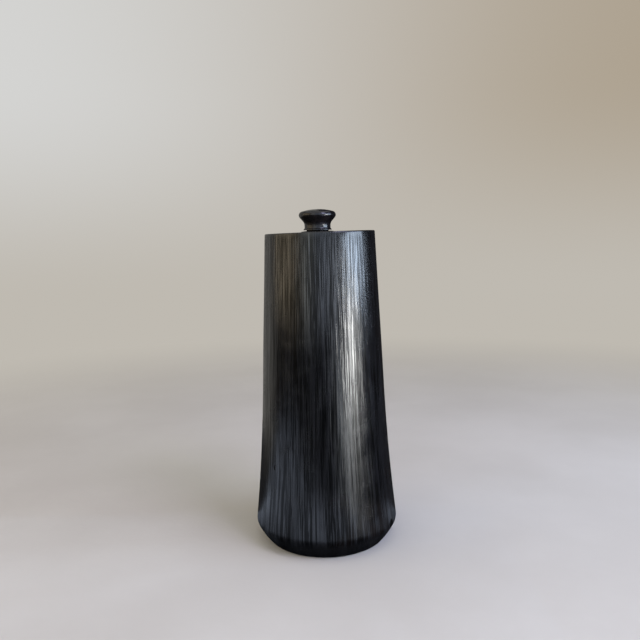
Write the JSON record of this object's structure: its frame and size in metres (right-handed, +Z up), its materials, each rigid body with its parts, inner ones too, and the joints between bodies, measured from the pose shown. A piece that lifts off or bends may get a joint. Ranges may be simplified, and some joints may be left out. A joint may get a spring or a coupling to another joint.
{
  "type": "stoppered clay bottle",
  "caption": "Tall tapered bottle of burnished black clay with a flared lower wall, chamfered foot, flat top, low mouth collar and a lift-out mushroom stopper on a cork plug.",
  "frame": {"origin": "centre of the foot ring, on the surface the bottle stands on", "axes": "+Z up along the body's axis; the mouth and its stopper stand 1.8 mm off that axis towards -X; the pictured side faces -Y"},
  "size_m": [0.1294, 0.1294, 0.2997],
  "materials": {
    "burnished_clay": "satin",
    "raw_clay": "matte",
    "polished_clay": "gloss",
    "cork": "matte"
  },
  "bodies": {
    "pot": {"body_wall": "burnished_clay", "base_slab": "raw_clay", "top_slab": "burnished_clay", "mouth_collar": "burnished_clay"},
    "stopper": {"stopper_knob": "polished_clay", "cork_plug": "cork"}
  },
  "joints": [
    {"name": "stopper_lift", "type": "slide", "parent": "pot", "child": "stopper", "axis": [0, 0, 1], "range_m": [0, 0.045]}
  ]
}
